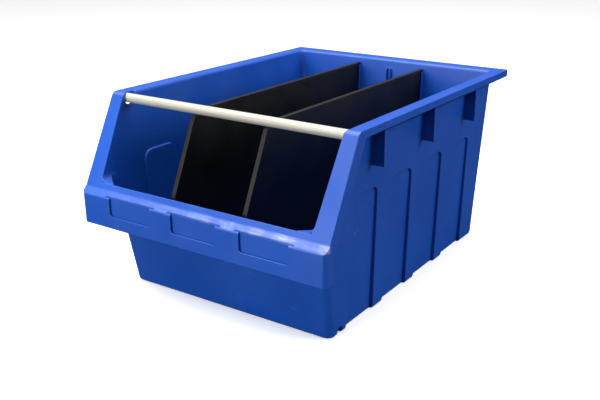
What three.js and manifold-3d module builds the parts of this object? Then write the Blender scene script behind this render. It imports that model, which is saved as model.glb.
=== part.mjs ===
// Open-front hanging parts bin: one moulded shell, a round cross bar through its front top corners
// and two loose lengthwise dividers.
// Millimetres. +X is to the right seen from the front, +Y to the rear, +Z up. The origin is on the
// floor, under the centre of the whole outline. Distances along the bin are given from the face of
// its front lip, and fromLip() turns them into Y.
import * as THREE from 'three';
import { mergeVertices } from 'three/addons/utils/BufferGeometryUtils.js';
import Module from 'manifold-3d';

const wasm = await Module();
wasm.setup();

// Overall size and moulding thickness.
const width = 300;
const length = 400;
const height = 206;
const wall = 2.8;
const floorThickness = 3;

// Drafted walls: each is a pair of values, at the floor and at the height of the rim.
const halfWidth = [126.4, 137.2];
const frontWall = [45, 9.8];
const rearWall = [376.7, 384.2];
const wallCornerRadius = 7;
const baseRadius = 3;
const floorRadius = 3;

// Rim, sloping front flange and front lip.
const rimDepth = 8;
const slopeTop = [53.9, height];
const slopeFoot = [6.8, 116.2];
const chamferFoot = [0, 109.4];
const lipBottom = 77.6;
const returnDepth = 14;
const openingBottom = 121.5;
const openingRadius = 8;
const rimRadius = 3.5;
const bendRadius = { slopeTop: 7, slopeFoot: 10, chamferFoot: 3 };
const planRadius = { front: 5, rear: 3 };

// Ledge that joins the lip to the front wall behind it.
const ledgeDrop = 10.5;
const ledgeReach = 18;
const ledgeLap = 2;
const cornerWeb = { halfWidth: 113, reach: 16, lap: 1 };
const cheekBottom = 106;

// Recessed side panels and the ribs under the side rims.
const panelCount = 4;
const panelPitch = 71.2;
const panelFront = [73.5, 76];
const panelRear = [125.5, 117];
const panelTop = 137;
const panelRadius = 8;
const panelDepth = { foot: 4.3, top: 2.6 };
const toeFront = 58;
const toeRear = 66;
const toeHeight = 7;
const gussetCount = 3;
const gussetFront = 99.8;
const gussetPitch = 103.8;
const gussetThickness = 4;
const gussetBottom = 162;
const gussetBead = 1.8;
const gussetRecess = 1.3;
const gussetSetBack = 0.5;

// Hooked lip under the middle of the rear rim.
const hookHalfWidth = 105;
const hookDepth = 20;

// Label pockets in the lip: a window and, behind it, a slot that the card slides into.
const labelPitch = 83;
const labelWindow = { width: 55, bottom: 91, depth: 1.2, radius: 3 };
const labelSlot = { width: 66, bottom: 87.5, depth: 2.3, radius: 1 };
const labelBacking = { width: 72, bottom: 84, thickness: 1.8 };

// Cross bar and its seats in the side walls.
const barRadius = 4.9;
const barY = 60.5;
const barZ = 199.6;
const barChamfer = 0.6;
const barEndGap = 0.5;
const seatClearance = 0.3;
const seatBottom = 192.8;
const seatNotch = { front: 58, rear: 70, bottom: 201, depth: 2.4 };

// Dividers and the pairs of guide ribs that hold them.
const dividerX = 44.65;
const dividerThickness = 2.8;
const dividerBead = { thickness: 4.8, depth: 3 };
const dividerTop = 198.5;
const dividerGap = 0.5;
const dividerFloorGap = 0.3;
const dividerLedgeGap = 1.2;
const dividerFootCut = 5;
const dividerFoot = [23.2, 116.6];
const dividerSlope = 0.474;
const dividerNotch = barRadius + 1.9;
const guideGap = 3.4;
const guideThickness = 1.5;
const guideDepth = 4.5;
const guideRoot = 1;
const guideTop = { rear: 195, front: 104 };

// Margin by which a cutting shape runs past the material that it cuts.
const clear = 5;
const arcSegments = 6;
const roundSteps = 5;
const barSegments = 40;
const mergeTolerance = 1e-4;

// Moulded blue shell, painted bar and black dividers.
const finishes = {
  bin: { color: 0x1f56b4, roughness: 0.45 },
  bar: { color: 0xf2efe4, roughness: 0.35 },
  divider: { color: 0x101114, roughness: 0.5 },
};

const fromLip = (distance) => distance - length / 2;
const at = ([low, high], z) => low + (high - low) * z / height;
const outerHalf = (z) => at(halfWidth, z);
const innerHalf = (z) => at(halfWidth, z) - wall;
const frontInner = (z) => at(frontWall, z) + wall;
const rearInner = (z) => at(rearWall, z) - wall;

const slopeRun = (slopeTop[0] - slopeFoot[0]) / (slopeTop[1] - slopeFoot[1]);
const slopeAt = (z) => slopeFoot[0] + (z - slopeFoot[1]) * slopeRun;

// Outline from corners [a, b, radius]. A corner with a radius becomes a true arc.
function outline(corners) {
  const shape = new THREE.Shape();
  corners.forEach(([a, b, radius = 0], i) => {
    const corner = new THREE.Vector2(a, b);
    if (radius === 0) {
      if (i === 0) shape.moveTo(a, b);
      else shape.lineTo(a, b);
      return;
    }
    const before = corners.at(i - 1);
    const after = corners[(i + 1) % corners.length];
    const back = new THREE.Vector2(before[0], before[1]).sub(corner).normalize();
    const ahead = new THREE.Vector2(after[0], after[1]).sub(corner).normalize();
    const halfAngle = Math.acos(back.dot(ahead)) / 2;
    const reach = radius / Math.tan(halfAngle);
    const start = corner.clone().addScaledVector(back, reach);
    const end = corner.clone().addScaledVector(ahead, reach);
    const middle = back.clone().add(ahead).normalize();
    const centre = corner.clone().addScaledVector(middle, radius / Math.sin(halfAngle));
    const from = start.sub(centre).angle();
    const to = end.sub(centre).angle();
    shape.absarc(centre.x, centre.y, radius, from, to, back.cross(ahead) > 0);
  });
  return shape;
}

const rectangle = (a0, b0, a1, b1) => outline([[a0, b0], [a1, b0], [a1, b1], [a0, b1]]);

function solid(geometry) {
  geometry.deleteAttribute('normal');
  geometry.deleteAttribute('uv');
  const merged = mergeVertices(geometry, mergeTolerance);
  const mesh = new wasm.Mesh({
    numProp: 3,
    vertProperties: new Float32Array(merged.attributes.position.array),
    triVerts: new Uint32Array(merged.index.array),
  });
  return new wasm.Manifold(mesh);
}

function extruded(shape, depth) {
  return new THREE.ExtrudeGeometry(shape, { depth, bevelEnabled: false, curveSegments: arcSegments });
}

const xAxis = new THREE.Vector3(1, 0, 0);
const yAxis = new THREE.Vector3(0, 1, 0);
const zAxis = new THREE.Vector3(0, 0, 1);

// A side outline, in distance from the lip and height, extruded from x0 to x1.
function alongX(shape, x0, x1) {
  const geometry = extruded(shape, x1 - x0);
  geometry.applyMatrix4(new THREE.Matrix4().makeBasis(yAxis, zAxis, xAxis));
  return solid(geometry.translate(x0, fromLip(0), 0));
}

// A front outline, in X and height, extruded between two distances from the lip.
function alongY(shape, y0, y1) {
  const geometry = extruded(shape, y1 - y0);
  geometry.applyMatrix4(new THREE.Matrix4().makeBasis(xAxis, zAxis, yAxis.clone().negate()));
  return solid(geometry.translate(0, fromLip(y1), 0));
}

// A plan outline, in X and distance from the lip, extruded from z0 to z1.
function alongZ(shape, z0, z1) {
  return solid(extruded(shape, z1 - z0).translate(0, fromLip(0), z0));
}

const joined = (parts) => parts.reduce((whole, part) => whole.add(part));
const bothSides = (make) => joined([make(-1), make(1)]);
const ordered = (a, b) => [Math.min(a, b), Math.max(a, b)];

// Angles of a quarter round, in equal steps.
const quarter = Array.from({ length: roundSteps + 1 }, (_, i) => (i / roundSteps) * Math.PI / 2);

// A drafted block through the given levels. Each level is a height and the distance that the block
// stands in from the outer walls there.
function draftedBlock(levels, radius) {
  const offset = levels[0][1];
  const half = outerHalf(0) - offset;
  const front = frontWall[0] + offset;
  const rear = rearWall[0] - offset;
  const plan = outline([
    [-half, front, radius], [half, front, radius], [half, rear, radius], [-half, rear, radius],
  ]);
  const steps = levels.length - 1;
  const geometry = new THREE.ExtrudeGeometry(plan, {
    depth: steps, steps, bevelEnabled: false, curveSegments: arcSegments,
  });
  const position = geometry.attributes.position;
  for (let i = 0; i < position.count; i++) {
    const [z, inset] = levels[Math.round(position.getZ(i))];
    const across = position.getX(i) / half;
    const along = (position.getY(i) - front) / (rear - front);
    const frontHere = at(frontWall, z) + inset;
    const rearHere = at(rearWall, z) - inset;
    const y = frontHere + along * (rearHere - frontHere);
    position.setXYZ(i, across * (outerHalf(z) - inset), y, z);
  }
  return solid(geometry.translate(0, fromLip(0), 0));
}

// Levels of the round between a level face at the given height and the walls above it.
const footRound = (z, inset, radius) => quarter.map((angle) => [
  z + radius * (1 - Math.cos(angle)), inset + radius * (1 - Math.sin(angle)),
]);

// The drafted block whose sides are the sunk panels' faces, the given amount further in.
function panelCore(inset, radius) {
  return draftedBlock([
    [-2 * clear, inset + panelDepth.foot], [panelTop, inset + panelDepth.top],
    [height + 2 * clear, inset + panelDepth.top],
  ], radius);
}

// Side outline of panel number k, grown by the given amount for the boss inside the wall.
function panelOutline(k, grow) {
  const shift = k * panelPitch;
  const edgeAt = ([low, high], z) => shift + low + (high - low) * z / panelTop;
  const top = panelTop + grow;
  const radius = panelRadius + grow;
  return outline([
    [edgeAt(panelFront, -clear) - grow, -clear],
    [edgeAt(panelRear, -clear) + grow, -clear],
    [edgeAt(panelRear, top) + grow, top, radius],
    [edgeAt(panelFront, top) - grow, top, radius],
  ]);
}

function panels(grow) {
  const panel = (_, k) => alongX(panelOutline(k, grow), -width, width);
  return joined(Array.from({ length: panelCount }, panel));
}

// Toe notches, grown by the given amount for their bosses, which run on into the first panels'.
function toes(grow) {
  const side = rectangle(toeFront - grow, -clear, toeRear + 2 * grow, toeHeight + grow);
  return alongX(side, -width, width);
}

// Four-walled outer block with the panels and the toe notches sunk into its sides.
function outerBlock() {
  const sunk = panels(0).add(toes(0)).subtract(panelCore(0, wallCornerRadius));
  const levels = [...footRound(0, 0, baseRadius), [height, 0]];
  return draftedBlock(levels, wallCornerRadius).subtract(sunk);
}

// Space inside the walls, less the bosses that back the sunk panels and toe notches. It flares at
// the top, which rounds the rim's inner edge.
function cavity() {
  const radius = wallCornerRadius - wall;
  const flare = quarter.map((angle) => [
    height - rimRadius * (1 - Math.sin(angle)), wall - rimRadius * (1 - Math.cos(angle)),
  ]);
  const space = draftedBlock([
    ...footRound(floorThickness, wall, floorRadius), ...flare, [height + clear, wall - rimRadius],
  ], radius);
  return space.subtract(panels(wall).add(toes(wall)).subtract(panelCore(wall, radius)));
}

// Rim: a flat top with a turned-down edge, and a hooked lip under its rear edge.
function rim() {
  const half = width / 2;
  const plate = (inset) => rectangle(inset - half, slopeFoot[0], half - inset, length - inset);
  const outside = alongZ(plate(0), height - rimDepth, height);
  const underside = alongZ(plate(wall), height - rimDepth - clear, height - wall);
  const hook = alongY(
    rectangle(-hookHalfWidth, height - hookDepth, hookHalfWidth, height), length - wall, length,
  );
  return outside.subtract(underside).add(hook);
}

// Bent front plate: lip, chamfer and slope. It is full at the bends, which airInFront() rounds.
function frontPlate() {
  const back = wall / Math.cos(Math.atan(slopeRun));
  return alongX(outline([
    [0, lipBottom], [wall, lipBottom], [wall, chamferFoot[1] - wall / 2],
    [slopeFoot[0] + back, slopeFoot[1] - wall / 2], [slopeTop[0] + back, height],
    slopeTop, chamferFoot,
  ]), -width / 2, width / 2);
}

// Returned edges of the front plate, one at each end.
function frontReturns() {
  const depth = returnDepth / Math.cos(Math.atan(slopeRun));
  const profile = outline([
    [0, lipBottom], [returnDepth, lipBottom], [returnDepth, chamferFoot[1] - returnDepth / 2],
    [slopeTop[0] + depth, height], slopeTop, chamferFoot,
  ]);
  return bothSides((side) => alongX(profile, ...ordered(side * width / 2, side * (width / 2 - wall))));
}

const halfOutline = (half, z0, z1) => outline([
  [-half(z0), z0], [half(z0), z0], [half(z1), z1], [-half(z1), z1],
]);

// Forward ends of the side walls, between the front wall and the sloping flange.
function cheeks() {
  const outside = alongY(halfOutline(outerHalf, cheekBottom, height), wall / 2, slopeTop[0] + clear);
  const inside = alongY(halfOutline(innerHalf, cheekBottom - clear, height + clear), 0, length);
  return outside.subtract(inside);
}

// Sloping ledge from the opening's lower edge back down to the front wall.
function ledge() {
  const front = slopeAt(openingBottom);
  const rear = front + ledgeReach;
  const low = openingBottom - ledgeDrop;
  const half = innerHalf(low) + wall / 2;
  return alongX(outline([
    [wall / 2, chamferFoot[1] - wall], [rear, low - wall], [rear, low], [front, openingBottom],
    [slopeAt(openingBottom - ledgeLap), openingBottom - ledgeLap],
  ]), -half, half);
}

// Three-cornered web in each lower corner of the opening, from the ledge up to the side wall.
function cornerWebs() {
  const front = slopeAt(openingBottom);
  const rear = front + cornerWeb.reach;
  const half = innerHalf(openingBottom) + wall / 2;
  return bothSides((side) => alongZ(outline([
    [side * half, front + cornerWeb.lap], [side * cornerWeb.halfWidth, front + cornerWeb.lap],
    [side * half, rear],
  ]), openingBottom - ledgeDrop - wall, openingBottom + openingRadius));
}

// Everything in front of the lip, the chamfer and the slope, with their bends rounded.
function airInFront() {
  const top = height + clear;
  const back = slopeTop[0] + 2 * clear;
  return alongX(outline([
    [-clear, lipBottom - clear], [0, lipBottom - clear], [...chamferFoot, bendRadius.chamferFoot],
    [...slopeFoot, bendRadius.slopeFoot], [...slopeTop, bendRadius.slopeTop], [back, height],
    [back, top], [-clear, top],
  ]), -width, width);
}

// Everything inside the rim's plan outline, whose corners are rounded.
function insidePlan() {
  const half = width / 2;
  return alongZ(outline([
    [-half, 0, planRadius.front], [half, 0, planRadius.front],
    [half, length, planRadius.rear], [-half, length, planRadius.rear],
  ]), -clear, height + clear);
}

// The front opening, with rounded lower corners.
function opening() {
  const top = height + clear;
  const low = openingBottom;
  return alongY(outline([
    [-innerHalf(low), low, openingRadius], [innerHalf(low), low, openingRadius],
    [innerHalf(top), top], [-innerHalf(top), top],
  ]), -clear, slopeTop[0] + clear);
}

// The air over the ledge, which takes the top off the front wall.
function airOverLedge() {
  const front = slopeAt(openingBottom);
  const rear = front + ledgeReach;
  const low = openingBottom - ledgeDrop;
  return alongX(outline([
    [front, openingBottom], [rear, low], [rear + clear, low],
    [rear + clear, openingBottom + clear], [front, openingBottom + clear],
  ]), -innerHalf(low), innerHalf(low));
}

// Ribs that prop the turned-down rim, each with a bead round its sunk front face.
function gussets() {
  const parts = [];
  const outer = width / 2 - gussetSetBack;
  const top = height - wall / 2;
  for (let k = 0; k < gussetCount; k++) {
    const front = gussetFront + k * gussetPitch;
    for (const side of [-1, 1]) {
      const root = side * (outerHalf(gussetBottom) - wall / 2);
      const [x0, x1] = ordered(root, side * outer);
      const [p0, p1] = ordered(root, side * (outer - gussetBead));
      const plate = alongY(rectangle(x0, gussetBottom, x1, top), front, front + gussetThickness);
      const sunk = rectangle(p0, gussetBottom + gussetBead, p1, height - wall);
      parts.push(plate.subtract(alongY(sunk, front - clear, front + gussetRecess)));
    }
  }
  return joined(parts);
}

const labelCentres = [-labelPitch, 0, labelPitch];

function labelBackings() {
  const half = labelBacking.width / 2;
  return joined(labelCentres.map((x) => alongY(
    rectangle(x - half, labelBacking.bottom, x + half, chamferFoot[1]),
    wall / 2, wall + labelBacking.thickness,
  )));
}

// Windows and card slots, open at the top through the chamfer.
function labelPockets() {
  const pocket = (x, { width: span, bottom, depth, radius }, front) => alongY(outline([
    [x - span / 2, bottom, radius], [x + span / 2, bottom, radius],
    [x + span / 2, slopeFoot[1]], [x - span / 2, slopeFoot[1]],
  ]), front, depth);
  return joined(labelCentres.flatMap((x) => [
    pocket(x, labelWindow, -clear),
    pocket(x, labelSlot, labelWindow.depth),
  ]));
}

// Oval bar seats through both side walls, with an open notch in the rim's inner edge.
function barSeats() {
  const half = barRadius + seatClearance;
  const slot = new THREE.Shape();
  slot.absarc(barY, seatBottom + half, half, Math.PI, 2 * Math.PI);
  slot.absarc(barY, barZ, half, 0, Math.PI);
  const inner = innerHalf(barZ);
  const { front, rear, bottom, depth } = seatNotch;
  const notch = rectangle(front, bottom, rear, height + clear);
  return bothSides((side) => joined([
    alongX(slot, ...ordered(side * (inner - clear), side * (width / 2 - wall))),
    alongX(notch, ...ordered(side * (inner - clear), side * (inner + depth))),
  ]));
}

// Pairs of guide ribs on the rear and front walls, standing on the floor.
function guides() {
  const foot = floorThickness - guideRoot;
  const rib = (surface, inward, top) => outline([
    [surface(foot) - inward * guideRoot, foot], [surface(foot) + inward * guideDepth, foot],
    [surface(top) + inward * guideDepth, top], [surface(top) - inward * guideRoot, top],
  ]);
  const profiles = [rib(rearInner, -1, guideTop.rear), rib(frontInner, 1, guideTop.front)];
  const parts = [];
  for (const x of [-dividerX, 0, dividerX]) {
    for (const side of [-1, 1]) {
      const near = x + side * guideGap / 2;
      for (const profile of profiles) {
        parts.push(alongX(profile, ...ordered(near, near + side * guideThickness)));
      }
    }
  }
  return joined(parts);
}

function binBody() {
  const shell = joined([
    rim(), outerBlock(), frontPlate(), frontReturns(), cheeks(), gussets(), labelBackings(),
  ]);
  return joined([shell.subtract(cavity()), ledge()])
    .subtract(airOverLedge())
    .add(cornerWebs())
    .intersect(insidePlan())
    .subtract(airInFront())
    .subtract(opening())
    .subtract(labelPockets())
    .subtract(barSeats())
    .add(guides());
}

// Angle at which the front edge, which passes the bar's centre at the given offset, meets the
// notch circle below the bar.
function notchEnd(offset, radius) {
  const lean = 1 + dividerSlope ** 2;
  const rise = dividerSlope * offset;
  const drop = (-rise - Math.sqrt(rise ** 2 - lean * (offset ** 2 - radius ** 2))) / lean;
  return Math.atan2(drop, offset + dividerSlope * drop);
}

// Side outline of a divider. With an inset, its front, notch and top edges move in by that much
// and its other edges run past, which leaves the strip that the bead covers.
function dividerOutline(inset) {
  const past = inset > 0 ? 4 * clear : 0;
  const foot = floorThickness + dividerFloorGap - past;
  const front = (z) => frontInner(z) + 2 * dividerGap - past;
  const rear = (z) => rearInner(z) - dividerGap + past;
  const shift = inset * Math.sqrt(1 + dividerSlope ** 2);
  const edge = (z) => dividerFoot[0] + (z - dividerFoot[1]) * dividerSlope + shift;
  const notch = dividerNotch + inset;
  const top = dividerTop - inset;
  const ledgeBack = openingBottom - ledgeDrop + dividerLedgeGap;
  const shape = new THREE.Shape();
  shape.moveTo(rear(foot) - dividerFootCut, foot);
  shape.lineTo(rear(foot + dividerFootCut), foot + dividerFootCut);
  shape.lineTo(rear(top), top);
  const startAngle = Math.asin((top - barZ) / notch);
  shape.absarc(barY, barZ, notch, startAngle, notchEnd(edge(barZ) - barY, notch), true);
  shape.lineTo(edge(dividerFoot[1]), dividerFoot[1]);
  shape.lineTo(front(ledgeBack), ledgeBack);
  shape.lineTo(front(foot + dividerFootCut), foot + dividerFootCut);
  shape.lineTo(front(foot) + dividerFootCut, foot);
  return shape;
}

function divider() {
  const half = dividerThickness / 2;
  const beadHalf = dividerBead.thickness / 2;
  const web = alongX(dividerOutline(0), -half, half);
  const bead = alongX(dividerOutline(0), -beadHalf, beadHalf)
    .subtract(alongX(dividerOutline(dividerBead.depth), -width, width));
  return web.add(bead);
}

// Round bar with chamfered ends, along X.
function crossBar() {
  const half = width / 2 - wall - barEndGap;
  const tip = barRadius - barChamfer;
  const profile = [
    [0, -half], [tip, -half], [barRadius, barChamfer - half],
    [barRadius, half - barChamfer], [tip, half], [0, half],
  ].map(([radius, x]) => new THREE.Vector2(radius, x));
  return new THREE.LatheGeometry(profile, barSegments).rotateZ(-Math.PI / 2);
}

function geometryOf(manifold) {
  const { vertProperties, triVerts } = manifold.getMesh();
  const geometry = new THREE.BufferGeometry();
  geometry.setAttribute('position', new THREE.BufferAttribute(vertProperties, 3));
  geometry.setIndex(new THREE.BufferAttribute(triVerts, 1));
  geometry.computeVertexNormals();
  return geometry;
}

function mesh(name, geometry, finish) {
  const material = new THREE.MeshStandardMaterial({ ...finish, metalness: 0 });
  const part = new THREE.Mesh(geometry, material);
  part.name = name;
  return part;
}

const group = new THREE.Group();
group.add(mesh('bin_body', geometryOf(binBody()), finishes.bin));

const bar = mesh('cross_bar', crossBar(), finishes.bar);
bar.position.set(0, fromLip(barY), barZ);
group.add(bar);

for (const [name, x] of [['divider_left', -dividerX], ['divider_right', dividerX]]) {
  const plate = mesh(name, geometryOf(divider()), finishes.divider);
  plate.position.x = x;
  group.add(plate);
}

export default group;
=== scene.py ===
"""Looks of an open-front parts bin: a moulded blue shell, a painted cross bar and black dividers.

Metres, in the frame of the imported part: +X right, +Y to the rear, +Z up, floor at Z = 0.
"""

import math
from typing import NamedTuple

import bmesh
import bpy
from mathutils import Matrix, Vector
from mathutils.bvhtree import BVHTree


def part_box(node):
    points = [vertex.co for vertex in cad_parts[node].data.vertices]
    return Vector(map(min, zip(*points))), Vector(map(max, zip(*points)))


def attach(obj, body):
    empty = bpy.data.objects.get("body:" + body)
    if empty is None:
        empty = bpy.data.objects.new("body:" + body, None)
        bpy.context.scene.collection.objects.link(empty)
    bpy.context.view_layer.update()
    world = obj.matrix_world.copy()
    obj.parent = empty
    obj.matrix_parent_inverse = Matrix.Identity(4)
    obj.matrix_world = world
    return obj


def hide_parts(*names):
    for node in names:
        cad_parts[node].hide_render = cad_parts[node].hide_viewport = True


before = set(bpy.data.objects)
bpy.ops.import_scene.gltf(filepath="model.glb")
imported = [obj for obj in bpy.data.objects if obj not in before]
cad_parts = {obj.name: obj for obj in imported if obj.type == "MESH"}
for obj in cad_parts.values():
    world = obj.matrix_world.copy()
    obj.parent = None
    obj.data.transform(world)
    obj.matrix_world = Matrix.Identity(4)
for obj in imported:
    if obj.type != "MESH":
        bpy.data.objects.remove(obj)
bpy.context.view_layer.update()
MM = 0.001

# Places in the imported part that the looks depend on: half the bin's width, the bar, the box round
# the right corner web, and the chamfer above the lip with its lower and upper height and rear end.
HALF_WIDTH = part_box("bin_body")[1].x
BAR_LOW, BAR_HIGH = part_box("cross_bar")
WEB_LOW = Vector((0.123, -0.182, 0.080))
WEB_HIGH = Vector((0.1335, -0.160, 0.1295))
CHAMFER = (0.1094, 0.1162)
CHAMFER_REAR = -0.1925

# Camera. The picture's principal point sits a little to the right of its middle.
CAMERA_PLACE = Vector((0.4951, -0.7361, 0.3886))
CAMERA_AZIMUTH = 32.777
CAMERA_ELEVATION = 19.678
CAMERA_ROLL = 0.225
CAMERA_LENS = 49.28
CAMERA_SENSOR = 36.0
CAMERA_SHIFT = (-0.0432, -0.0005)

# Area lights: place, target, size and power in watts.
TARGET = (0, 0, 0.1)
LIGHTS = {
    "overhead": ((-0.45, -0.35, 1.3), TARGET, 1.1, 27),
    "above": ((0.1, 0.2, 1.5), TARGET, 0.8, 9),
    "front_low": ((-0.5, -2.0, 0.35), TARGET, 0.9, 31),
    "right": ((1.6, 0.5, 0.9), TARGET, 0.9, 17),
    "right_low": ((1.9, 0.2, 0.3), TARGET, 0.9, 5),
}
DOME_STRENGTH = 0.62
DOME_FROM = 0.1
DOME_FULL = 0.55
FLOOR_SIZE = 14.0
FLOOR_GLOW = 0.35

# Rounding of edges on the copies of the CAD meshes. Edges bent by less than the sharp angle stay as
# they are. A rounding takes at most its share of the room beside the edge. Two edges whose lines
# differ by less than the sine below count as running on in one line. Points further from the
# unrounded surface than the stray distance are folded back onto it.
SHARP_ANGLE = math.radians(25)
FULL_ROUND_ANGLE = math.radians(45)
FLAT_ANGLE = math.radians(0.6)
MERGE_DISTANCE = 0.002 * MM
SHARE_OF_ROOM = 0.42
IN_LINE_SINE = 0.35
LEVEL_PASSES = 12
SLIDE_SHARE = 0.4
ROUND_SEGMENTS = 3
EDGE_ROUND = 0.8 * MM
WEB_ROUND = 0.12 * MM
DIVIDER_ROUND = 0.8 * MM
STRAY = 0.7 * MM
FLAT_FACE_WEIGHT = 100

# Cross bar mesh.
BAR_SIDES = 96
BAR_END_STEPS = 6
BAR_END_ROUND = 0.9 * MM


# Geometry ------------------------------------------------------------------------------------

def new_piece(name, mesh, body, material):
    """A new object made of the mesh, riding on a body and taking its finish from a slot."""
    piece = bpy.data.objects.new(name, mesh)
    bpy.context.scene.collection.objects.link(piece)
    mesh.materials.clear()
    mesh.materials.append(material)
    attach(piece, body)
    return piece


def edge_room(edge):
    """The distance that a rounding of this edge may reach along its neighbours."""
    line = (edge.verts[1].co - edge.verts[0].co).normalized()
    room = math.inf
    for vert in edge.verts:
        for other in vert.link_edges:
            if other is edge or not set(other.link_faces) & set(edge.link_faces):
                continue
            span = other.other_vert(vert).co - vert.co
            sine = span.normalized().cross(line).length
            if sine > IN_LINE_SINE:
                room = min(room, span.length * sine)
    return room


def share_by_angle(edge):
    """Lets the rounding grow from nothing at the sharp angle to its full width on a clear bend."""
    share = (edge.calc_face_angle() - SHARP_ANGLE) / (FULL_ROUND_ANGLE - SHARP_ANGLE)
    return min(1.0, share)


def level_widths(widths):
    """Keeps the widths of edges that run on in nearly one line so close that their offsets meet."""
    pairs = []
    for edge in widths:
        for vert in edge.verts:
            line = (edge.other_vert(vert).co - vert.co).normalized()
            for other in vert.link_edges:
                if other is edge or not set(other.link_faces) & set(edge.link_faces):
                    continue
                span = other.other_vert(vert).co - vert.co
                sine = span.normalized().cross(line).length
                if sine < IN_LINE_SINE:
                    reach = min(edge.calc_length(), other.calc_length())
                    pairs.append((edge, other, SLIDE_SHARE * sine * reach))
    for _ in range(LEVEL_PASSES):
        for edge, other, step in pairs:
            widths[edge] = min(widths[edge], widths.get(other, 0.0) + step)


def tuck_in(mesh, surface):
    """Folds the few points that the rounding threw off the surface onto their nearest neighbours."""
    bm = bmesh.new()
    bm.from_mesh(mesh)
    for vert in bm.verts:
        if surface.find_nearest(vert.co)[3] > STRAY:
            neighbours = [edge.other_vert(vert).co for edge in vert.link_edges]
            vert.co = min(neighbours, key=lambda place: (place - vert.co).length)
    bmesh.ops.remove_doubles(bm, verts=bm.verts, dist=MERGE_DISTANCE)
    bm.to_mesh(mesh)
    bm.free()


def rounded_mesh(node, name, rounding_at):
    """The node's shape as a new mesh, its flat faces merged and its edges rounded."""
    bm = bmesh.new()
    bm.from_mesh(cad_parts[node].data)
    bmesh.ops.remove_doubles(bm, verts=bm.verts, dist=MERGE_DISTANCE)
    bmesh.ops.dissolve_limit(bm, angle_limit=FLAT_ANGLE, verts=bm.verts, edges=bm.edges)
    weights = bm.edges.layers.float.new("bevel_weight_edge")
    widths = {}
    for edge in bm.edges:
        if edge.is_manifold and edge.calc_face_angle() > SHARP_ANGLE:
            width = share_by_angle(edge) * rounding_at(edge)
            widths[edge] = min(width, SHARE_OF_ROOM * edge_room(edge))
    level_widths(widths)
    widest = max(widths.values())
    for edge, width in widths.items():
        edge[weights] = width / widest
    mesh = bpy.data.meshes.new(name + "_sharp")
    bm.to_mesh(mesh)
    surface = BVHTree.FromBMesh(bm)
    bm.free()
    sharp = bpy.data.objects.new(name + "_sharp", mesh)
    bpy.context.scene.collection.objects.link(sharp)
    bevel = sharp.modifiers.new("rounding", "BEVEL")
    bevel.limit_method = "WEIGHT"
    bevel.width = widest
    bevel.segments = ROUND_SEGMENTS
    bevel.use_clamp_overlap = False
    bevel.loop_slide = False
    bevel.miter_outer = "MITER_ARC"
    graph = bpy.context.evaluated_depsgraph_get()
    rounded = bpy.data.meshes.new_from_object(sharp.evaluated_get(graph))
    rounded.name = name
    tuck_in(rounded, surface)
    rounded.shade_smooth()
    bpy.data.objects.remove(sharp)
    return rounded


def weigh_normals(piece):
    """Keeps the large flat faces flat-shaded beside their rounded edges."""
    normals = piece.modifiers.new("normals", "WEIGHTED_NORMAL")
    normals.weight = FLAT_FACE_WEIGHT


def lies_in(edge, lows, highs):
    """Whether the edge's middle lies in a box, or in its mirror image on the other side of the bin."""
    middle = (edge.verts[0].co + edge.verts[1].co) / 2
    place = (abs(middle.x), middle.y, middle.z)
    return all(low < here < high for low, here, high in zip(lows, place, highs))


def bin_rounding(edge):
    """How far each of the shell's edges is rounded. The corner webs stay nearly sharp."""
    return WEB_ROUND if lies_in(edge, WEB_LOW, WEB_HIGH) else EDGE_ROUND


def make_shell(material):
    mesh = rounded_mesh("bin_body", "bin_shell", bin_rounding)
    shell = new_piece("bin_shell", mesh, "bin", material)
    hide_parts("bin_body")
    weigh_normals(shell)


def make_divider(side, material):
    name = f"{side}_divider_plate"
    mesh = rounded_mesh(f"divider_{side}", name, lambda edge: DIVIDER_ROUND)
    plate = new_piece(name, mesh, f"{side}_divider", material)
    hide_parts(f"divider_{side}")
    weigh_normals(plate)


def make_bar(material):
    """Round bar with rounded ends, turned about its own axis."""
    radius = (BAR_HIGH.z - BAR_LOW.z) / 2
    centre = (BAR_LOW + BAR_HIGH) / 2
    half = BAR_HIGH.x - centre.x
    profile = [(half, 0.0)]
    for step in range(BAR_END_STEPS + 1):
        angle = math.pi / 2 * step / BAR_END_STEPS
        x = half - BAR_END_ROUND * (1 - math.cos(angle))
        profile.append((x, radius - BAR_END_ROUND * (1 - math.sin(angle))))
    profile += [(-x, r) for x, r in reversed(profile)]
    bm = bmesh.new()
    verts = [bm.verts.new((x, 0, r)) for x, r in profile]
    edges = [bm.edges.new(pair) for pair in zip(verts, verts[1:])]
    bmesh.ops.spin(
        bm, geom=verts + edges, cent=(0, 0, 0), axis=(1, 0, 0), angle=2 * math.pi, steps=BAR_SIDES
    )
    bmesh.ops.remove_doubles(bm, verts=bm.verts, dist=MERGE_DISTANCE)
    bmesh.ops.recalc_face_normals(bm, faces=bm.faces)
    bmesh.ops.translate(bm, verts=bm.verts, vec=centre)
    mesh = bpy.data.meshes.new("painted_bar")
    bm.to_mesh(mesh)
    bm.free()
    mesh.shade_smooth()
    bar = new_piece("painted_bar", mesh, "bar", material)
    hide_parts("cross_bar")


# Materials -----------------------------------------------------------------------------------

class Pattern(NamedTuple):
    """A noise, the range of it that fades in, and the values it fades between.

    The scale is per metre. A stretch below 1 draws the pattern out along that axis.
    """
    scale: float
    detail: float = 2.0
    stretch: tuple = None
    fade: tuple = (0.0, 1.0)
    values: tuple = (0.0, 1.0)


class Relief(NamedTuple):
    """A bumpy surface: its noise, how high it stands and how strongly it shows."""
    noise: Pattern
    height: float
    strength: float


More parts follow.
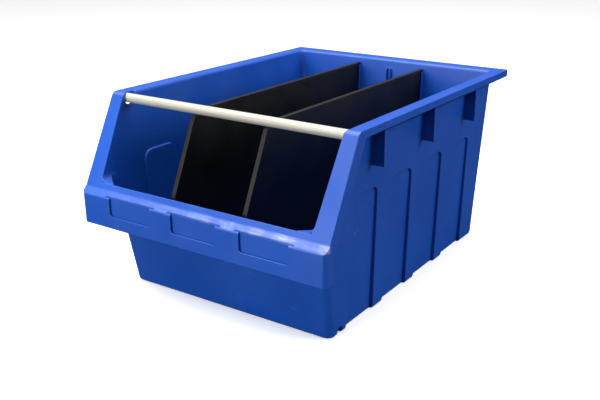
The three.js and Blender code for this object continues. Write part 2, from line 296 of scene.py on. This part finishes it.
# Linear colours.
BIN_BLUE = (0.0025, 0.060, 0.37, 1)
BIN_CLOUD_BLUE = (0.0035, 0.070, 0.41, 1)
BIN_FLOW_BLUE = (0.006, 0.078, 0.43, 1)
BIN_SCUFF_BLUE = (0.16, 0.26, 0.6, 1)
BIN_RUBBED_HIGHLIGHT_BLUE = (0.30, 0.36, 0.62, 1)
BIN_WORN_HIGHLIGHT_BLUE = (0.05, 0.17, 0.62, 1)
BAR_WHITE = (0.44, 0.425, 0.36, 1)
BAR_STREAK_WHITE = (0.38, 0.365, 0.295, 1)
BAR_BLOT_YELLOW = (0.34, 0.315, 0.24, 1)
DIVIDER_BLACK = (0.0012, 0.0013, 0.0016, 1)
DIVIDER_CLOUD_BLACK = (0.0022, 0.0022, 0.0024, 1)
DIVIDER_DUST_GREY = (0.005, 0.005, 0.005, 1)
DIVIDER_EDGE_HIGHLIGHT_BROWN = (0.078, 0.063, 0.014, 1)
FLOOR_SEEN = (0.93, 0.93, 0.93, 1)
FLOOR_SEEN_PALER = (0.95, 0.95, 0.95, 1)
FLOOR_UNSEEN = (0.02, 0.02, 0.02, 1)
WHITE = (1, 1, 1, 1)

# Bin: cloudy colour, flow marks down the walls, patchy scuffs, edges paler from wear and a painted
# highlight, slow waves and grain.
BIN_CLOUD = Pattern(9, 3, fade=(0.35, 0.65))
BIN_FLOW = Pattern(30, 4, (1, 1, 0.15), (0.6, 0.8), (0, 0.25))
BIN_SCUFF = Pattern(160, 6, (0.3, 1, 1), (0.62, 0.74))
BIN_SCUFF_PATCH = Pattern(14, fade=(0.5, 0.68))
BIN_SCUFF_SHARE = 0.25
BIN_SCUFF_ROUGHNESS = 0.12
BIN_WEAR_AND_HIGHLIGHT = Pattern(45, 3, fade=(0.35, 0.7), values=(0.2, 0.6))
BIN_WEAR_AND_HIGHLIGHT_RADIUS = 0.9 * MM
BIN_ROUGHNESS = Pattern(22, 4, fade=(0.3, 0.7), values=(0.36, 0.46))
BIN_WAVE = Relief(Pattern(16, 1), 0.25 * MM, 0.5)
BIN_GRAIN = Relief(Pattern(2600), 0.02 * MM, 0.5)

# Rubbing and a painted highlight on the chamfer: how they fade at the foot and at the other ends,
# where along half the bin's width they grow from the first share to the second, their patches and
# streaks.
RUB_AND_HIGHLIGHT_FOOT_FADE = (-0.5 * MM, 2 * MM)
RUB_AND_HIGHLIGHT_FADE = MM
RUB_AND_HIGHLIGHT_ALONG = (-0.5 * HALF_WIDTH, 0.93 * HALF_WIDTH)
RUB_AND_HIGHLIGHT_SHARE = (0.1, 0.95)
RUB_AND_HIGHLIGHT_PATCHES = Pattern(38, 3, (1, 0.3, 0.3), (0.38, 0.62), (0.15, 1))
RUB_AND_HIGHLIGHT_STREAKS = Pattern(500, 4, (0.12, 1, 1), (0.35, 0.6), (0.35, 1))

# Bar: streaks along it, yellowed blots and dimpled paint.
BAR_STREAK = Pattern(700, 3, (0.02, 1, 1), (0.4, 0.7))
BAR_BLOT = Pattern(60, 4, (0.5, 1, 1), (0.6, 0.75), (0, 0.35))
BAR_ROUGHNESS = Pattern(120, 3, fade=(0.3, 0.7), values=(0.3, 0.42))
BAR_DIMPLE = Relief(Pattern(900), 0.03 * MM, 0.4)

# Dividers: cloudy black, dust, a painted highlight that makes the edges paler and brownish, and grain.
DIVIDER_CLOUD = Pattern(12, 4, fade=(0.3, 0.7))
DIVIDER_DUST = Pattern(240, 5, fade=(0.6, 0.78), values=(0, 0.3))
DIVIDER_EDGE_RADIUS = 1.1 * MM
DIVIDER_SPECULAR = 0.3
DIVIDER_ROUGHNESS = Pattern(30, 4, fade=(0.3, 0.7), values=(0.46, 0.6))
DIVIDER_GRAIN = Relief(Pattern(2200), 0.025 * MM, 0.5)

FLOOR_CLOUD = Pattern(3)
FLOOR_ROUGHNESS = 0.7
FLOOR_GRAIN = Relief(Pattern(400), 0.05 * MM, 0.2)

# Where an edge counts as one: the cosines of the turn of its rounded normal that fade it in.
EDGE_SAMPLES = 6
EDGE_TURN = (0.99, 0.8)


class Nodes:
    """Short calls for building one material's node tree."""

    def __init__(self, name):
        self.material = bpy.data.materials.new(name)
        self.material.use_nodes = True
        self.tree = self.material.node_tree
        self.shader = self.tree.nodes["Principled BSDF"]
        self.place = self.add("ShaderNodeTexCoord").outputs["Object"]

    def add(self, kind, **settings):
        node = self.tree.nodes.new(kind)
        for key, value in settings.items():
            setattr(node, key, value)
        return node

    def set(self, socket, value):
        if isinstance(value, bpy.types.NodeSocket):
            self.tree.links.new(value, socket)
        else:
            socket.default_value = value

    def noise(self, pattern):
        """The pattern's noise as it comes, before it is faded."""
        place = self.place
        if pattern.stretch:
            mapping = self.add("ShaderNodeMapping")
            self.set(mapping.inputs["Vector"], place)
            mapping.inputs["Scale"].default_value = pattern.stretch
            place = mapping.outputs["Vector"]
        node = self.add("ShaderNodeTexNoise")
        self.set(node.inputs["Vector"], place)
        node.inputs["Scale"].default_value = pattern.scale
        node.inputs["Detail"].default_value = pattern.detail
        return node.outputs["Fac"]

    def ramp(self, value, fade, values=(0.0, 1.0)):
        """Goes smoothly from the first of the values to the second over the fade's range."""
        node = self.add("ShaderNodeMapRange", interpolation_type="SMOOTHSTEP")
        self.set(node.inputs["Value"], value)
        node.inputs["From Min"].default_value, node.inputs["From Max"].default_value = fade
        node.inputs["To Min"].default_value, node.inputs["To Max"].default_value = values
        return node.outputs["Result"]

    def faded(self, pattern):
        return self.ramp(self.noise(pattern), pattern.fade, pattern.values)

    def components(self):
        split = self.add("ShaderNodeSeparateXYZ")
        self.set(split.inputs["Vector"], self.place)
        return split.outputs["X"], split.outputs["Y"], split.outputs["Z"]

    def math(self, operation, a, b):
        node = self.add("ShaderNodeMath", operation=operation)
        self.set(node.inputs[0], a)
        self.set(node.inputs[1], b)
        return node.outputs["Value"]

    def mix(self, factor, a, b):
        node = self.add("ShaderNodeMix", data_type="RGBA")
        self.set(node.inputs["Factor"], factor)
        self.set(node.inputs["A"], a)
        self.set(node.inputs["B"], b)
        return node.outputs["Result"]

    def bump(self, relief, normal=None):
        node = self.add("ShaderNodeBump")
        self.set(node.inputs["Height"], self.noise(relief.noise))
        node.inputs["Distance"].default_value = relief.height
        node.inputs["Strength"].default_value = relief.strength
        if normal is not None:
            self.set(node.inputs["Normal"], normal)
        return node.outputs["Normal"]

    def edges(self, radius):
        """How much a rounded-off normal turns away from the true one: 1 on an edge."""
        bevel = self.add("ShaderNodeBevel", samples=EDGE_SAMPLES)
        bevel.inputs["Radius"].default_value = radius
        true_normal = self.add("ShaderNodeNewGeometry").outputs["Normal"]
        dot = self.add("ShaderNodeVectorMath", operation="DOT_PRODUCT")
        self.set(dot.inputs[0], bevel.outputs["Normal"])
        self.set(dot.inputs[1], true_normal)
        return self.ramp(dot.outputs["Value"], EDGE_TURN)

    def finish(self, color, roughness, normal):
        self.set(self.shader.inputs["Base Color"], color)
        self.set(self.shader.inputs["Roughness"], roughness)
        self.set(self.shader.inputs["Normal"], normal)
        return self.material


def chamfer_rubbing_and_highlight(n):
    """Pale rubbing with a painted highlight on the chamfer above the lip, patchy, and strongest at its
    right end.
    """
    x, y, z = n.components()
    foot, top = CHAMFER
    share = n.ramp(z, (foot + RUB_AND_HIGHLIGHT_FOOT_FADE[0], foot + RUB_AND_HIGHLIGHT_FOOT_FADE[1]))
    parts = [
        n.ramp(z, (top + RUB_AND_HIGHLIGHT_FADE, top - RUB_AND_HIGHLIGHT_FADE)),
        n.ramp(y, (CHAMFER_REAR + RUB_AND_HIGHLIGHT_FADE, CHAMFER_REAR - RUB_AND_HIGHLIGHT_FADE)),
        n.ramp(x, RUB_AND_HIGHLIGHT_ALONG, RUB_AND_HIGHLIGHT_SHARE),
        n.faded(RUB_AND_HIGHLIGHT_PATCHES),
        n.faded(RUB_AND_HIGHLIGHT_STREAKS),
    ]
    for part in parts:
        share = n.math("MULTIPLY", share, part)
    return share


def bin_plastic():
    """Blue moulded plastic: fine grain, slow waves, pale scuffs, and edges painted paler as wear and
    as a painted highlight.
    """
    n = Nodes("bin_plastic")
    color = n.mix(n.faded(BIN_CLOUD), BIN_BLUE, BIN_CLOUD_BLUE)
    color = n.mix(n.faded(BIN_FLOW), color, BIN_FLOW_BLUE)
    scuffed = n.math("MULTIPLY", n.faded(BIN_SCUFF), n.faded(BIN_SCUFF_PATCH))
    color = n.mix(n.math("MULTIPLY", scuffed, BIN_SCUFF_SHARE), color, BIN_SCUFF_BLUE)
    # Chamfer painted paler: partly rubbing, partly a painted highlight, strongest at the right end.
    color = n.mix(chamfer_rubbing_and_highlight(n), color, BIN_RUBBED_HIGHLIGHT_BLUE)
    # Edges painted paler: partly wear, partly a painted highlight where the rounded edges catch the
    # light.
    worn_and_highlight = n.math("MULTIPLY", n.edges(BIN_WEAR_AND_HIGHLIGHT_RADIUS), n.faded(BIN_WEAR_AND_HIGHLIGHT))
    color = n.mix(worn_and_highlight, color, BIN_WORN_HIGHLIGHT_BLUE)
    rougher = n.math("MULTIPLY", scuffed, BIN_SCUFF_ROUGHNESS)
    roughness = n.math("ADD", n.faded(BIN_ROUGHNESS), rougher)
    return n.finish(color, roughness, n.bump(BIN_GRAIN, n.bump(BIN_WAVE)))


def bar_coating():
    """Off-white paint on a drawn bar, a little yellowed, with faint streaks along it."""
    n = Nodes("bar_coating")
    color = n.mix(n.faded(BAR_STREAK), BAR_WHITE, BAR_STREAK_WHITE)
    color = n.mix(n.faded(BAR_BLOT), color, BAR_BLOT_YELLOW)
    return n.finish(color, n.faded(BAR_ROUGHNESS), n.bump(BAR_DIMPLE))


def divider_plastic():
    """Black moulded plastic with a low sheen, dust and a painted highlight that makes the edges paler
    and brownish.
    """
    n = Nodes("divider_plastic")
    color = n.mix(n.faded(DIVIDER_CLOUD), DIVIDER_BLACK, DIVIDER_CLOUD_BLACK)
    color = n.mix(n.faded(DIVIDER_DUST), color, DIVIDER_DUST_GREY)
    # Painted highlight: the rounded edges are made paler and brownish, as warm light catching them.
    color = n.mix(n.edges(DIVIDER_EDGE_RADIUS), color, DIVIDER_EDGE_HIGHLIGHT_BROWN)
    n.shader.inputs["Specular IOR Level"].default_value = DIVIDER_SPECULAR
    return n.finish(color, n.faded(DIVIDER_ROUGHNESS), n.bump(DIVIDER_GRAIN))


def floor_material():
    """Pale to the camera and darker to everything else, so that it lights the bin only a little."""
    n = Nodes("floor")
    pale = n.mix(n.noise(FLOOR_CLOUD), FLOOR_SEEN, FLOOR_SEEN_PALER)
    seen = n.add("ShaderNodeLightPath").outputs["Is Camera Ray"]
    color = n.mix(seen, FLOOR_UNSEEN, pale)
    n.shader.inputs["Emission Color"].default_value = WHITE
    n.set(n.shader.inputs["Emission Strength"], n.math("MULTIPLY", seen, FLOOR_GLOW))
    return n.finish(color, FLOOR_ROUGHNESS, n.bump(FLOOR_GRAIN))


# Studio --------------------------------------------------------------------------------------

def make_camera():
    data = bpy.data.cameras.new("camera")
    data.lens = CAMERA_LENS
    data.sensor_width = CAMERA_SENSOR
    data.shift_x, data.shift_y = CAMERA_SHIFT
    view = bpy.data.objects.new("camera", data)
    bpy.context.scene.collection.objects.link(view)
    turn = Matrix.Rotation(math.radians(CAMERA_AZIMUTH), 3, "Z")
    tilt = Matrix.Rotation(math.radians(90 - CAMERA_ELEVATION), 3, "X")
    roll = Matrix.Rotation(math.radians(CAMERA_ROLL), 3, "Z")
    view.location = CAMERA_PLACE
    view.rotation_euler = (turn @ tilt @ roll).to_euler()
    bpy.context.scene.camera = view


def make_light(name, place, target, size, power):
    data = bpy.data.lights.new(name, "AREA")
    data.size = size
    data.energy = power
    light = bpy.data.objects.new(name, data)
    bpy.context.scene.collection.objects.link(light)
    light.location = place
    away = Vector(place) - Vector(target)
    light.rotation_euler = away.to_track_quat("Z", "Y").to_euler()


def make_floor():
    mesh = bpy.data.meshes.new("floor")
    half = FLOOR_SIZE / 2
    corners = [(-half, -half, 0), (half, -half, 0), (half, half, 0), (-half, half, 0)]
    mesh.from_pydata(corners, [], [(0, 1, 2, 3)])
    mesh.materials.append(floor_material())
    ground = bpy.data.objects.new("floor", mesh)
    bpy.context.scene.collection.objects.link(ground)


def make_world():
    """White to the camera, and to everything else a soft dome that is dark near the horizon."""
    world = bpy.data.worlds.new("studio")
    bpy.context.scene.world = world
    world.use_nodes = True
    tree = world.node_tree
    seen = tree.nodes.new("ShaderNodeLightPath")
    direction = tree.nodes.new("ShaderNodeTexCoord")
    height = tree.nodes.new("ShaderNodeSeparateXYZ")
    dome = tree.nodes.new("ShaderNodeMapRange")
    dome.inputs["From Min"].default_value = DOME_FROM
    dome.inputs["From Max"].default_value = DOME_FULL
    dome.inputs["To Max"].default_value = DOME_STRENGTH
    strength = tree.nodes.new("ShaderNodeMix")
    strength.inputs["B"].default_value = 1.0
    tree.links.new(direction.outputs["Generated"], height.inputs["Vector"])
    tree.links.new(height.outputs["Z"], dome.inputs["Value"])
    tree.links.new(dome.outputs["Result"], strength.inputs["A"])
    tree.links.new(seen.outputs["Is Camera Ray"], strength.inputs["Factor"])
    tree.links.new(strength.outputs["Result"], tree.nodes["Background"].inputs["Strength"])
    tree.nodes["Background"].inputs["Color"].default_value = WHITE


make_shell(bin_plastic())
black = divider_plastic()
for side in ("left", "right"):
    make_divider(side, black)
make_bar(bar_coating())
make_floor()
make_world()
for light_name, settings in LIGHTS.items():
    make_light(light_name, *settings)
make_camera()
bpy.context.scene.view_settings.view_transform = "Standard"
